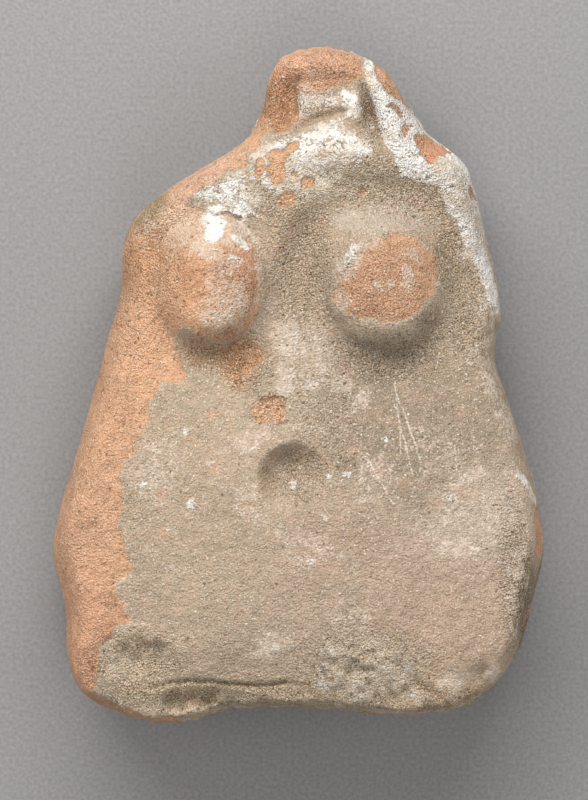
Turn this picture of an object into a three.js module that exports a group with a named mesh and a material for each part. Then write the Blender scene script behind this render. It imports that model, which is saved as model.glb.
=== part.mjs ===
// Fragment of a hand-modelled terracotta figure of a woman: the torso, from the stump of the neck to a
// break below the hips, with both arms lost at the shoulders. It is one solid piece of fired clay that
// lies on its flattened back. +Z is up, out of the front of the figure, and +Y points to the neck.
// +X points to the right-hand side seen from the front. The origin is under the middle of the piece.
// Everything is in millimetres.
import * as THREE from "three";

// Driving sizes of the whole torso
const RIM_HEIGHT = 11.5; // height of the widest line round the side
const BREAK_SINK = 3; // how much lower that line runs at the lower break, which slants outwards
const RIM_WAVE = 0.7; // how far it wanders up and down along the sides
const NECK_FRONT = 20; // heights of the front face, along its middle
const CHEST_FRONT = 25;
const BELLY_FRONT = 30;
const LIP_DROP = 3; // how far the belly has sunk when it meets the lower break
const CROWN = 3; // how far the front falls away from its middle to its sides
const SIDE_RADII = [4.8, 3.8]; // widths of the rounding between front and side, right-hand and left-hand
const BREAK_RADIUS = 2; // the same at the lower break, which is steeper
const NECK_RADIUS = 4.2; // the same round the stump of the neck
const BACK_RADIUS = 9; // width of the rounding between side and back
const ROUNDNESS = 2.1; // exponent of these roundings, where 2 is an ellipse
const BREAK_ROUNDNESS = 2; // the same at the lower break
const FLAT_HALF_WIDTH = 17; // the flat spot of the back, beyond which it lifts a little
const FLAT_TOP = 24;
const FLAT_FOOT = -36;
const NECK_LIFT = 3.5;
const FOOT_LIFT = 1.6;
const SIDE_LIFT = 1.2;

// The outline seen from the front, anticlockwise from the top of the neck, stretch by stretch
const OUTLINE = {
  neckTop: [[4, 62.5], [-2.5, 61]],
  neckSide: [[-5.3, 56.8], [-6.5, 51.6], [-8.4, 47.2]],
  rightShoulder: [[-11.9, 43.9], [-20.6, 38.7], [-28, 33.2], [-30.9, 30], [-32.6, 24.9]],
  rightFlank: [[-33.1, 15.6], [-35.9, 5.5], [-39, -5.4], [-42.3, -17.4], [-44.6, -25.9]],
  rightHip: [[-45.1, -32.3], [-42.9, -41], [-42.7, -49.3], [-41.2, -55], [-37.2, -58.7]],
  lowerBreak: [[-26.8, -62.4], [-20.2, -62], [-13.9, -60.4], [-7.3, -59.5], [6, -59.5], [14.9, -60.7]],
  leftCorner: [[22.2, -60.7], [30.4, -59.3], [36.6, -54.8], [41.1, -47.6]],
  leftHip: [[43.1, -40.3], [45.3, -30.9], [44.9, -23.7]],
  leftFlank: [[42.7, -14.6], [38.8, -2.8], [36.3, 5.1], [37.2, 14.2]],
  leftShoulder: [[35.5, 23.2], [32.6, 35.2], [30.2, 40.9], [23.3, 46.8]],
  neckBreak: [[17.6, 56], [13.9, 59.7], [8.9, 61.6]],
};

// The breasts are knobs of clay pressed on and smoothed: place, reach of each side, and height
const BREASTS = [
  { at: [-15.7, 18], left: 11, right: 9.8, up: 12.6, down: 11.4, height: 7.5 },
  { at: [16.2, 17.6], left: 11.2, right: 11, up: 13, down: 11.2, height: 7.3 },
];
const DOME_FULLNESS = 3.4; // exponent of the dome's profile, where 2 is a parabola
const UNDERSIDE_FULLNESS = 5; // the same straight down from its middle, where it is fuller and steeper
const DOME_FILLET = 0.3; // how softly the dome runs into the chest
const HAIR = 0.001; // a hair's breadth, so that nothing is divided by 0 in the middle of the dome

// A shallow furrow that a finger left round the upper half of the left breast
const FURROW = { at: [16.2, 17.6], radius: 17, half: 5, depth: 1.3 };

// The navel is the dent of a fingertip pushed in towards the upper left
const NAVEL = { at: [-0.8, -16.9], radius: 6.4, depth: 4.3 };
const NAVEL_FULLNESS = 0.9; // exponent of the bowl's profile, where 1 is a parabola
const NAVEL_MIDDLE = 0.6; // the share of its depth that the middle has
const NAVEL_LEAN = 0.45; // how much the depth grows towards the upper left

// Swellings (height over 0) and hollows (under 0) of the front: place, half-lengths, turn in degrees
const FORMS = [
  { name: "collar ridge", at: [6, 43], half: [15, 6], turn: -8, height: 1.5 },
  { name: "right shoulder ridge", at: [-20, 34], half: [14, 6], turn: 32, height: 1.2 },
  { name: "left shoulder ridge", at: [29, 31], half: [5, 14], turn: 12, height: 1.4 },
  { name: "strip beside the neck", at: [16.6, 50], half: [3.4, 11], turn: 22, height: 1.8 },
  { name: "hollow beside the strip", at: [13.4, 49.5], half: [2.8, 7], turn: 14, height: -1.6 },
  { name: "lump in the hollow", at: [10, 51.4], half: [3.4, 4.2], turn: 0, height: 1.8 },
  { name: "thumb dent in the neck", at: [-1.6, 52.4], half: [3.8, 6.4], turn: -6, height: -2.4 },
  { name: "top of the neck", at: [4, 58.6], half: [8, 4], turn: 0, height: 1.5 },
  { name: "hollow between the breasts", at: [0.5, 19], half: [7, 15], turn: 0, height: -1.2 },
  { name: "belly", at: [-3, -30], half: [34, 28], turn: 0, height: 1.2 },
  { name: "dent over the left hip", at: [31, -21], half: [16, 12], turn: 30, height: -0.7 },
  { name: "chip at the right corner", at: [-29, -50.5], half: [9, 6], turn: -12, height: -1.5 },
  { name: "chip at the break", at: [-17, -58.5], half: [13, 4], turn: 2, height: -1.6 },
  { name: "chip at the left corner", at: [33, -54], half: [5, 3.4], turn: 30, height: -1 },
];

// The spine is the line inside the torso that every step of the outline is joined to
const SPINE_ENDS = [52, -30]; // where it ends at the neck and at the belly
const SPINE_X = [1, 4.5]; // its place across, in the body and in the neck
const SPINE_SCALE = 0.66; // the outline's heights shrunk and moved by this lie along it
const SPINE_SHIFT = 9;
const SPINE_EVEN = 0.38; // how much an even stepping counts against those heights
const ROUNDED_SHARE = 0.6; // the most that a rounding takes of the way from the outline to the spine

// How finely the surface is stepped
const HALF_STEPS = 75; // steps from the top of the outline to its foot, on each side
const NECK_DENSITY = 1.22; // over 1, so that the steps are closer together at the neck
const SIDE_RINGS = 6; // rings in the rounding between side and front
const FRONT_RINGS = 20; // rings from there to the middle of the front
const BACK_SIDE_RINGS = 4;
const BACK_RINGS = 3;
const FINE_STEPS = 2400; // points along the whole outline to choose those steps from

const clamp01 = (v) => Math.min(1, Math.max(0, v));

// 0 before start, 1 after end, with a soft S between them
function smooth(start, end, v) {
  const t = clamp01((v - start) / (end - start));
  return t * t * (3 - 2 * t);
}

// A quarter of a superellipse: 0 at the rim, rising steeply, and 1 from one radius inwards
function rounding(u, roundness) {
  return Math.pow(1 - Math.pow(1 - clamp01(u), roundness), 1 / roundness);
}

// Closed smooth curve through the outline's points
function outlineCurve() {
  const points = Object.values(OUTLINE)
    .flat()
    .map(([x, y]) => new THREE.Vector3(x, y, 0));
  return new THREE.CatmullRomCurve3(points, true, "catmullrom", 0.5);
}

// The outline's two halves, from the top of the neck to the middle of the lower break, stepped alike,
// as one ring of points that runs down the first half and back up the second
function outlineRing() {
  const fine = outlineCurve().getSpacedPoints(FINE_STEPS).slice(0, -1);
  const topIndex = fine.reduce((best, p, i) => (p.y > fine[best].y ? i : best), 0);
  const fromTop = [...fine.slice(topIndex), ...fine.slice(0, topIndex)];
  const footIndex = fromTop.reduce(
    (best, p, i) => (p.y < 0 && Math.abs(p.x) < Math.abs(fromTop[best].x) ? i : best),
    Math.floor(fromTop.length / 2),
  );
  const share = (i) => Math.pow(i / HALF_STEPS, NECK_DENSITY);
  const pick = (index) => fromTop[Math.round(index) % fromTop.length];
  const upwards = fromTop.length - footIndex;
  const steps = Array.from({ length: HALF_STEPS }, (_, i) => i);
  return [
    ...steps.map((i) => pick(footIndex * share(i))),
    ...steps.map((i) => pick(fromTop.length - upwards * share(HALF_STEPS - i))),
  ];
}

// Shortest way from a point to the outline
function edgeDistance(x, y, ring) {
  let nearest = Infinity;
  ring.forEach((a, i) => {
    const b = ring[(i + 1) % ring.length];
    const along = ((x - a.x) * (b.x - a.x) + (y - a.y) * (b.y - a.y)) / a.distanceToSquared(b);
    const t = clamp01(along);
    nearest = Math.min(nearest, Math.hypot(x - a.x - t * (b.x - a.x), y - a.y - t * (b.y - a.y)));
  });
  return nearest;
}

// A soft oval mound of height 1: 1 in the middle, 0 from its edge outwards
function mound(x, y, { at, half, turn }) {
  const angle = THREE.MathUtils.degToRad(turn);
  const dx = x - at[0];
  const dy = y - at[1];
  const u = (dx * Math.cos(angle) + dy * Math.sin(angle)) / half[0];
  const v = (dy * Math.cos(angle) - dx * Math.sin(angle)) / half[1];
  return Math.pow(Math.max(0, 1 - u * u - v * v), 2);
}

// Height of a breast over the chest: a full dome with a fillet round its foot, steepest on its underside
function breastHeight(x, y, { at, left, right, up, down, height }) {
  const dx = (x - at[0]) / (x < at[0] ? left : right);
  const dy = (y - at[1]) / (y < at[1] ? down : up);
  const r = Math.hypot(dx, dy);
  const fullness = THREE.MathUtils.lerp(DOME_FULLNESS, UNDERSIDE_FULLNESS, clamp01(-dy / (r + HAIR)) ** 2);
  const dome = 1 - Math.pow(r, fullness);
  return (height * (dome + Math.hypot(dome, DOME_FILLET))) / 2;
}

// Depth of the furrow: a round-bottomed ring that runs out below the middle of the breast
function furrowDepth(x, y) {
  const across = (Math.hypot(x - FURROW.at[0], y - FURROW.at[1]) - FURROW.radius) / FURROW.half;
  return FURROW.depth * Math.max(0, 1 - across * across) ** 2 * smooth(-6, 8, y - FURROW.at[1]);
}

// Depth of the navel: an oval dent, deepest and steepest at its upper left
function navelDepth(x, y) {
  const dx = (x - NAVEL.at[0]) / NAVEL.radius;
  const dy = (y - NAVEL.at[1]) / NAVEL.radius;
  const bowl = Math.pow(Math.max(0, 1 - dx * dx - dy * dy), NAVEL_FULLNESS);
  const lean = clamp01(NAVEL_MIDDLE + (dy - dx) * NAVEL_LEAN);
  return NAVEL.depth * bowl * lean;
}

// The front face away from its edges
function frontFace(x, y) {
  const along =
    NECK_FRONT +
    (CHEST_FRONT - NECK_FRONT) * smooth(54, 40, y) +
    (BELLY_FRONT - CHEST_FRONT) * smooth(24, -22, y) -
    LIP_DROP * smooth(-46, -61, y);
  const halfWidth = THREE.MathUtils.lerp(44, 30, smooth(-20, 40, y));
  const crown = CROWN * clamp01(Math.abs(x) / halfWidth) ** 2;
  const breasts = BREASTS.reduce((sum, breast) => sum + breastHeight(x, y, breast), 0);
  const forms = FORMS.reduce((sum, form) => sum + form.height * mound(x, y, form), 0);
  return along - crown + breasts + forms - furrowDepth(x, y) - navelDepth(x, y);
}

// The back away from its edges: flat in the middle, lifting a little towards neck, foot and sides
function backFace(x, y) {
  return (
    NECK_LIFT * smooth(FLAT_TOP, 56, y) +
    FOOT_LIFT * smooth(FLAT_FOOT, -58, y) +
    SIDE_LIFT * smooth(FLAT_HALF_WIDTH, 36, Math.abs(x))
  );
}

// Height of the widest line round the side
function rimHeight(x, y) {
  const wander = RIM_WAVE * Math.sin(0.13 * y + 0.06 * x);
  return RIM_HEIGHT + wander - BREAK_SINK * smooth(-48, -60, y);
}

// Width of the rounding between front and side, narrower at the neck and at the break
function frontRadius(x, y) {
  const side = THREE.MathUtils.lerp(...SIDE_RADII, smooth(-20, 20, x));
  const lower = THREE.MathUtils.lerp(BREAK_RADIUS, side, smooth(-58, -44, y));
  return THREE.MathUtils.lerp(lower, NECK_RADIUS, smooth(32, 46, y));
}

// A point of the spine, from the two points of the outline that one step has
function spinePoint(step, left, right) {
  const even = THREE.MathUtils.lerp(...SPINE_ENDS, step / HALF_STEPS);
  const level = ((left.y + right.y) / 2) * SPINE_SCALE + SPINE_SHIFT;
  const y = THREE.MathUtils.lerp(level, even, SPINE_EVEN);
  return new THREE.Vector2(THREE.MathUtils.lerp(...SPINE_X, smooth(20, 52, y)), y);
}

// Distances from the outline to the spine at which one step's points stand: dense in the rounding,
// where the surface is steep, and even beyond it
function inset(ringIndex, sideRings, innerRings, radius, reach) {
  if (ringIndex <= sideRings) {
    return radius * (1 - Math.cos(((Math.PI / 2) * ringIndex) / sideRings));
  }
  return radius + ((reach - radius) * (ringIndex - sideRings)) / innerRings;
}

// The closed surface: the outline's ring at the rim, a sheet over the front and one over the back.
// Each sheet runs inwards ring by ring to the spine, where its two halves meet.
function torsoGeometry() {
  const ring = outlineRing();
  const count = ring.length;
  const positions = ring.flatMap((p) => [p.x, p.y, rimHeight(p.x, p.y)]);
  const triangles = [];

  const addSheet = (sideRings, innerRings, radiusAt, heightAt, facesUp) => {
    const rings = sideRings + innerRings;
    const first = positions.length / 3;
    const spine = Array.from({ length: HALF_STEPS + 1 }, (_, i) =>
      spinePoint(i, ring[i], ring[(count - i) % count]),
    );
    const spineOf = (i) => (i <= HALF_STEPS ? i : count - i);
    for (let r = 1; r < rings; r += 1) {
      ring.forEach((p, i) => {
        const target = spine[spineOf(i)];
        const reach = Math.hypot(target.x - p.x, target.y - p.y);
        const radius = Math.min(radiusAt(p.x, p.y), ROUNDED_SHARE * reach);
        const share = inset(r, sideRings, innerRings, radius, reach) / reach;
        const x = THREE.MathUtils.lerp(p.x, target.x, share);
        const y = THREE.MathUtils.lerp(p.y, target.y, share);
        positions.push(x, y, heightAt(x, y));
      });
    }
    const spineStart = positions.length / 3;
    spine.forEach((p) => positions.push(p.x, p.y, heightAt(p.x, p.y)));

    const indexOf = (r, i) => {
      const step = i % count;
      if (r === 0) return step;
      if (r === rings) return spineStart + spineOf(step);
      return first + (r - 1) * count + step;
    };
    for (let r = 0; r < rings; r += 1) {
      for (let i = 0; i < count; i += 1) {
        const corners = [indexOf(r, i), indexOf(r, i + 1), indexOf(r + 1, i + 1), indexOf(r + 1, i)];
        // the second half's diagonals mirror those of the first, so both run along the feet of the breasts
        const [a, b, c, d] = i < HALF_STEPS ? corners : [...corners.slice(1), corners[0]];
        if (facesUp) triangles.push(a, b, c, a, c, d);
        else triangles.push(a, c, b, a, d, c);
      }
    }
  };

  const front = (x, y) => {
    const roundness = THREE.MathUtils.lerp(BREAK_ROUNDNESS, ROUNDNESS, smooth(-58, -46, y));
    const rise = rounding(edgeDistance(x, y, ring) / frontRadius(x, y), roundness);
    return THREE.MathUtils.lerp(rimHeight(x, y), frontFace(x, y), rise);
  };
  const back = (x, y) => {
    const fall = rounding(edgeDistance(x, y, ring) / BACK_RADIUS, ROUNDNESS);
    return THREE.MathUtils.lerp(rimHeight(x, y), backFace(x, y), fall);
  };
  addSheet(SIDE_RINGS, FRONT_RINGS, frontRadius, front, true);
  addSheet(BACK_SIDE_RINGS, BACK_RINGS, () => BACK_RADIUS, back, false);

  const geometry = new THREE.BufferGeometry();
  geometry.setAttribute("position", new THREE.Float32BufferAttribute(positions, 3));
  geometry.setIndex(triangles);
  geometry.computeVertexNormals();
  return geometry;
}

// Sets the origin under the middle of the piece's box
function centreOnItsBox(geometry) {
  geometry.computeBoundingBox();
  const { min, max } = geometry.boundingBox;
  return geometry.translate(-(min.x + max.x) / 2, -(min.y + max.y) / 2, -min.z);
}

const terracotta = new THREE.MeshStandardMaterial({ color: 0xb9a68c, roughness: 0.92, metalness: 0 });
const torso = new THREE.Mesh(centreOnItsBox(torsoGeometry()), terracotta);
torso.name = "torso";

const figurine = new THREE.Group();
figurine.add(torso);

export default figurine;
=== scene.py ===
import math

import bpy
import numpy as np
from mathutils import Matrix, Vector


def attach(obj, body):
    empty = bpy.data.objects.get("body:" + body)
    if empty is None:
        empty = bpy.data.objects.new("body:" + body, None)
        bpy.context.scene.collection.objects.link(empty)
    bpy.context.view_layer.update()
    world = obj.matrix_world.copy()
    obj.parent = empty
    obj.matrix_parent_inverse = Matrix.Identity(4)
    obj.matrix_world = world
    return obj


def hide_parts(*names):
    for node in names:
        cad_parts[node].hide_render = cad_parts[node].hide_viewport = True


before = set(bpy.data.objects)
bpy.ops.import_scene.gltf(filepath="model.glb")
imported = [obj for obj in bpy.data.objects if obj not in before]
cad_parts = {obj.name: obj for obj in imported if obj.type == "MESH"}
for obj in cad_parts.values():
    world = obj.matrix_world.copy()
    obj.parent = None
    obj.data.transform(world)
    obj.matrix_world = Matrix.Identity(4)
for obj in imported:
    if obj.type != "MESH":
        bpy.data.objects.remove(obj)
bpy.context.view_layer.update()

# The camera hangs straight over the piece, as in the photograph, with the neck at the top of the picture.
# A long lens from high up keeps the sides of the slab out of sight.
MM = 0.001
PICTURE_HEIGHT = 147.9 * MM  # length of the strip that the picture's long side covers
PICTURE_CENTRE = (-0.74 * MM, -2.8 * MM)
SHARP_HEIGHT = 12 * MM  # height of the widest line round the piece
LENS = 300
SENSOR = 36
CLIP_END = 20

camera_data = bpy.data.cameras.new("camera")
camera_data.lens = LENS
camera_data.sensor_width = SENSOR
camera_data.clip_end = CLIP_END
camera = bpy.data.objects.new("camera", camera_data)
camera.location = (*PICTURE_CENTRE, SHARP_HEIGHT + PICTURE_HEIGHT * LENS / SENSOR)
bpy.context.scene.collection.objects.link(camera)
bpy.context.scene.camera = camera

# The studio: a wide soft lamp from above the neck and a little to the picture's left, weaker ones from both
# sides and from the foot, and a little even light. The first leaves the long soft shadow under the lower
# break. In this section left and right are the picture's.
SKY = (0.96, 0.98, 1.0)
SKY_STRENGTH = 0.13
WARM = (1.0, 0.985, 0.96)


def lamp(name, turn, rise, way, width, height, power):
    """A flat lamp that faces the piece: turn is in degrees from the neck's direction to the left, rise in
    degrees over the floor, way, width and height in metres, power in watts."""
    data = bpy.data.lights.new(name, "AREA")
    data.energy = power
    data.shape = "RECTANGLE"
    data.size = width
    data.size_y = height
    data.color = WARM
    turn, rise = math.radians(turn), math.radians(rise)
    direction = Vector((-math.sin(turn) * math.cos(rise), math.cos(turn) * math.cos(rise), math.sin(rise)))
    made = bpy.data.objects.new(name, data)
    made.location = direction * way
    made.rotation_mode = "QUATERNION"
    made.rotation_quaternion = direction.to_track_quat("Z", "Y")
    bpy.context.scene.collection.objects.link(made)


lamp("lamp", 10, 39, 0.8, 1.05, 0.34, 12.8)
lamp("left_fill", 92, 30, 0.5, 0.4, 0.4, 1.0)
lamp("right_fill", -100, 24, 0.9, 0.7, 0.7, 3.2)
lamp("foot_fill", 190, 55, 1, 0.6, 0.6, 3.6)

world = bpy.data.worlds.new("studio")
bpy.context.scene.world = world
world.use_nodes = True
world.node_tree.nodes["Background"].inputs["Color"].default_value = (*SKY, 1)
world.node_tree.nodes["Background"].inputs["Strength"].default_value = SKY_STRENGTH
bpy.context.scene.view_settings.view_transform = "Standard"

# The floor is a sheet of plain pale grey paper with a faint tooth.
FLOOR_HALF = 4.0
FLOOR_GREY = (0.304, 0.301, 0.305, 1)
FLOOR_FLECK = (0.14, 0.137, 0.136, 1)
TOOTH = 1500  # grains of the paper to the metre
TOOTH_DETAIL = 3
PAPER_ROUGHNESS = 0.95

floor_mesh = bpy.data.meshes.new("floor")
corners = np.array([(-1, -1, 0), (1, -1, 0), (1, 1, 0), (-1, 1, 0)]) * FLOOR_HALF
floor_mesh.from_pydata(corners.tolist(), [], [(0, 1, 2, 3)])
floor = bpy.data.objects.new("floor", floor_mesh)
bpy.context.scene.collection.objects.link(floor)

paper = bpy.data.materials.new("paper")
paper.use_nodes = True
paper_tree = paper.node_tree
paper_shader = paper_tree.nodes["Principled BSDF"]
paper_shader.inputs["Roughness"].default_value = PAPER_ROUGHNESS


def node(tree, kind, inputs, output=0, **settings):
    """Adds a node to the tree and returns one of its outputs. An input is a value or another node's
    output."""
    made = tree.nodes.new("ShaderNode" + kind)
    for name, setting in settings.items():
        setattr(made, name, setting)
    for name, value in inputs.items():
        if isinstance(value, bpy.types.NodeSocket):
            tree.links.new(value, made.inputs[name])
        else:
            made.inputs[name].default_value = value
    return made.outputs[output]


paper_place = node(paper_tree, "TexCoord", {}, "Object")
paper_tooth = node(paper_tree, "TexNoise", {"Vector": paper_place, "Scale": TOOTH, "Detail": TOOTH_DETAIL})
paper_flecks = {"Factor": paper_tooth, "A": FLOOR_FLECK, "B": FLOOR_GREY}
paper_colour = node(paper_tree, "Mix", paper_flecks, "Result", data_type="RGBA")
paper_tree.links.new(paper_colour, paper_shader.inputs["Base Color"])
floor_mesh.materials.append(paper)

# The torso is one lump of fired clay: a thick slab pressed out flat on its back, narrowing to the stump of
# the neck, with two knobs for breasts, a fingertip's dent for a navel, and an old break below the hips.
# The sizes are in millimetres, with +Y to the neck and +Z up. From here on left and right are the
# figure's own, so that its left side lies towards +X.
RIM_HEIGHT = 11.5  # of the widest line round the piece
RIM_WAVE = 0.7
RIM_WAVE_TURNS = (0.06, 0.13)  # radians to the millimetre along x and y
BREAK_SINK = 3
BREAK_SINK_STEP = (-48, -60)  # the y where a step starts, and the y where it is done
NECK_FRONT = 20
CHEST_FRONT = 25
BELLY_FRONT = 30
NECK_STEP = (54, 40)
BELLY_STEP = (24, -22)
LIP_DROP = 3
LIP_STEP = (-46, -61)
CROWN = 3  # how much lower the front is at its sides
CROWN_HALVES = (44, 30)  # half its width at the hips and at the shoulders
CROWN_STEP = (-20, 40)
SIDE_RADII = (4.8, 3.8)  # on the figure's right and left
SIDE_STEP = (-20, 20)
BREAK_RADIUS = 2
BREAK_RADIUS_STEP = (-58, -44)
NECK_RADIUS = 4.2
NECK_RADIUS_STEP = (32, 46)
BACK_RADIUS = 9
ROUNDNESS = 2.1
BREAK_ROUNDNESS = 2
ROUNDNESS_STEP = (-58, -46)
FLAT_HALF_WIDTH = 17
FLAT_TOP = 24
FLAT_FOOT = -36
# how far the back lifts off the ground, and where that lift is full
NECK_LIFT = 3.5
NECK_LIFT_END = 56
FOOT_LIFT = 1.6
FOOT_LIFT_END = -58
SIDE_LIFT = 1.2
SIDE_LIFT_END = 36
OUTLINE = (
    # top of the neck, and the right-hand side of the neck, shoulder, flank and hip
    (4, 62.5), (-2.5, 61), (-5.3, 56.8), (-6.5, 51.6), (-8.4, 47.2), (-11.9, 43.9), (-20.6, 38.7),
    (-28, 33.2), (-30.9, 30), (-32.6, 24.9), (-33.1, 15.6), (-35.9, 5.5), (-39, -5.4), (-42.3, -17.4),
    (-44.6, -25.9), (-45.1, -32.3), (-42.9, -41), (-42.7, -49.3), (-41.2, -55), (-37.2, -58.7),
    # the lower break
    (-26.8, -62.4), (-20.2, -62), (-13.9, -60.4), (-7.3, -59.5), (6, -59.5), (14.9, -60.7),
    # left-hand corner, hip, flank, shoulder and side of the neck
    (22.2, -60.7), (30.4, -59.3), (36.6, -54.8), (41.1, -47.6), (43.1, -40.3), (45.3, -30.9), (44.9, -23.7),
    (42.7, -14.6), (38.8, -2.8), (36.3, 5.1), (37.2, 14.2), (35.5, 23.2), (32.6, 35.2), (30.2, 40.9),
    (23.3, 46.8), (17.6, 56), (13.9, 59.7), (8.9, 61.6),
)
# place, reach to the right, left, neck and foot, and height of each breast
BREASTS = (
    ((-15.7, 18), 11, 9.8, 12.6, 11.4, 7.5),
    ((16.2, 17.6), 11.2, 11, 13, 11.2, 7.3),
)
DOME_FULLNESS = 3.4
UNDERSIDE_FULLNESS = 5
DOME_FILLET = 0.3
HAIR = 0.001  # keeps a division from meeting 0
# the furrow round the upper half of the left breast, and where it runs out about the breast's middle
FURROW = (16.2, 17.6)
FURROW_RADIUS = 17
FURROW_HALF = 5
FURROW_DEPTH = 1.3
FURROW_STEP = (-6, 8)
NAVEL = (-0.8, -16.9)
NAVEL_RADIUS = 6.4
NAVEL_DEPTH = 4.3
NAVEL_FULLNESS = 0.9
NAVEL_MIDDLE = 0.6
NAVEL_LEAN = 0.45
# place, half-lengths and height of each swelling, or depth of each hollow if under 0, and its turn in
# degrees if it has one
FORMS = (
    ((6, 43), (15, 6), 1.5, -8),  # collar ridge
    ((-20, 34), (14, 6), 1.2, 32),  # shoulder ridges
    ((29, 31), (5, 14), 1.4, 12),
    ((16.6, 50), (3.4, 11), 1.8, 22),  # strip beside the neck, its hollow and the lump in it
    ((13.4, 49.5), (2.8, 7), -1.6, 14),
    ((10, 51.4), (3.4, 4.2), 1.8),
    ((-1.6, 52.4), (3.8, 6.4), -2.4, -6),  # thumb dent in the neck
    ((4, 58.6), (8, 4), 1.5),  # top of the neck
    ((0.5, 19), (7, 15), -1.2),  # hollow between the breasts
    ((-3, -30), (34, 28), 1.2),  # belly
    ((31, -21), (16, 12), -0.7, 30),  # dent over the left hip
    ((-29, -50.5), (9, 6), -1.5, -12),  # chips at the corners and the break
    ((-17, -58.5), (13, 4), -1.6, 2),
    ((33, -54), (5, 3.4), -1, 30),
)

# the line inside the torso on which the rings of points close
SPINE_ENDS = (52, -30)
SPINE_X = (1, 4.5)  # in the body and in the neck
SPINE_STEP = (20, 52)
SPINE_SCALE = 0.66
SPINE_SHIFT = 9
SPINE_EVEN = 0.38
ROUNDED_SHARE = 0.6

# steps round half the outline, and rings of points over front and back
HALF_STEPS = 430
NECK_DENSITY = 1.22
SIDE_RINGS = 18
FRONT_RINGS = 66
BACK_SIDE_RINGS = 12
BACK_RINGS = 13


def smooth(start, end, v):
    """0 before start and 1 after end, with the curve 3t^2 - 2t^3 between them."""
    t = np.clip((v - start) / (end - start), 0, 1)
    return t * t * (3 - 2 * t)


def blend(a, b, share):
    """a where share is 0, b where it is 1."""
    return a + (b - a) * share


def closed_curve(points, per_stretch=60):
    """Catmull-Rom curve through the points: a cubic between neighbours whose slope at each point is half the
    way from the point before it to the point after it."""
    p1 = np.array(points, float)
    p0, p2, p3 = np.roll(p1, 1, 0), np.roll(p1, -1, 0), np.roll(p1, -2, 0)
    t = (np.arange(per_stretch) / per_stretch)[None, :, None]
    p0, p1, p2, p3 = (p[:, None, :] for p in (p0, p1, p2, p3))
    slope_in, slope_out = (p2 - p0) / 2, (p3 - p1) / 2
    square = 3 * (p2 - p1) - 2 * slope_in - slope_out
    cube = 2 * (p1 - p2) + slope_in + slope_out
    return (p1 + slope_in * t + square * t**2 + cube * t**3).reshape(-1, 2)


def outline_ring():
    """Points along the outline from the top of the neck down one side to the middle of the lower break, and
    back up the other, step i of a half at the share (i / HALF_STEPS) ** NECK_DENSITY of its length."""
    curve = closed_curve(OUTLINE)
    curve = np.roll(curve, -int(curve[:, 1].argmax()), 0)
    way = np.concatenate(([0], np.cumsum(np.hypot(*np.diff(curve, axis=0, append=curve[:1]).T))))
    foot = int(np.where(curve[:, 1] < 0, np.abs(curve[:, 0]), np.inf).argmin())
    steps = np.arange(HALF_STEPS)
    down = way[foot] * (steps / HALF_STEPS) ** NECK_DENSITY
    up = way[-1] - (way[-1] - way[foot]) * ((HALF_STEPS - steps) / HALF_STEPS) ** NECK_DENSITY
    at = np.concatenate((down, up))
    closed = np.vstack((curve, curve[:1]))
    return np.stack([np.interp(at, way, closed[:, k]) for k in (0, 1)], 1)


def distance_to_line(x, y, line, closed=True):
    """Shortest way from each point (x, y) to a line of straight pieces."""
    a = np.array(line, float)
    b = np.roll(a, -1, 0)
    if not closed:
        a, b = a[:-1], b[:-1]
    nearest = np.full(x.shape, np.inf)
    for (ax, ay), (bx, by) in zip(a, b):
        ux, uy = bx - ax, by - ay
        t = np.clip(((x - ax) * ux + (y - ay) * uy) / (ux * ux + uy * uy), 0, 1)
        nearest = np.minimum(nearest, (x - ax - t * ux) ** 2 + (y - ay - t * uy) ** 2)
    return np.sqrt(nearest)


def mound(x, y, at, half, turn=0):
    """1 in the middle of an oval and 0 from its edge outwards: the square of 1 - u^2 - v^2."""
    angle = math.radians(turn)
    dx, dy = x - at[0], y - at[1]
    u = (dx * math.cos(angle) + dy * math.sin(angle)) / half[0]
    v = (dy * math.cos(angle) - dx * math.sin(angle)) / half[1]
    return np.maximum(0, 1 - u * u - v * v) ** 2


def breast_height(x, y, at, right, left, up, down, height):
    """A full dome, 1 - r^n, kept over 0 by a soft corner that makes the fillet round its foot. The exponent n
    goes up from DOME_FULLNESS to UNDERSIDE_FULLNESS straight down from the middle."""
    dx = (x - at[0]) / np.where(x < at[0], right, left)
    dy = (y - at[1]) / np.where(y < at[1], down, up)
    r = np.hypot(dx, dy)
    fullness = blend(DOME_FULLNESS, UNDERSIDE_FULLNESS, np.clip(-dy / (r + HAIR), 0, 1) ** 2)
    dome = 1 - r**fullness
    return height * (dome + np.hypot(dome, DOME_FILLET)) / 2


def furrow_depth(x, y):
    """A round-bottomed ring, (1 - t^2)^2 across it, that runs out below the middle of the breast."""
    across = (np.hypot(x - FURROW[0], y - FURROW[1]) - FURROW_RADIUS) / FURROW_HALF
    return FURROW_DEPTH * np.maximum(0, 1 - across * across) ** 2 * smooth(*FURROW_STEP, y - FURROW[1])


def navel_depth(x, y):
    """A bowl, (1 - r^2)^NAVEL_FULLNESS, leaning so that it is deepest and steepest at its upper right."""
    dx, dy = (x - NAVEL[0]) / NAVEL_RADIUS, (y - NAVEL[1]) / NAVEL_RADIUS
    bowl = np.maximum(0, 1 - dx * dx - dy * dy) ** NAVEL_FULLNESS
    return NAVEL_DEPTH * bowl * np.clip(NAVEL_MIDDLE + (dy - dx) * NAVEL_LEAN, 0, 1)


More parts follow.
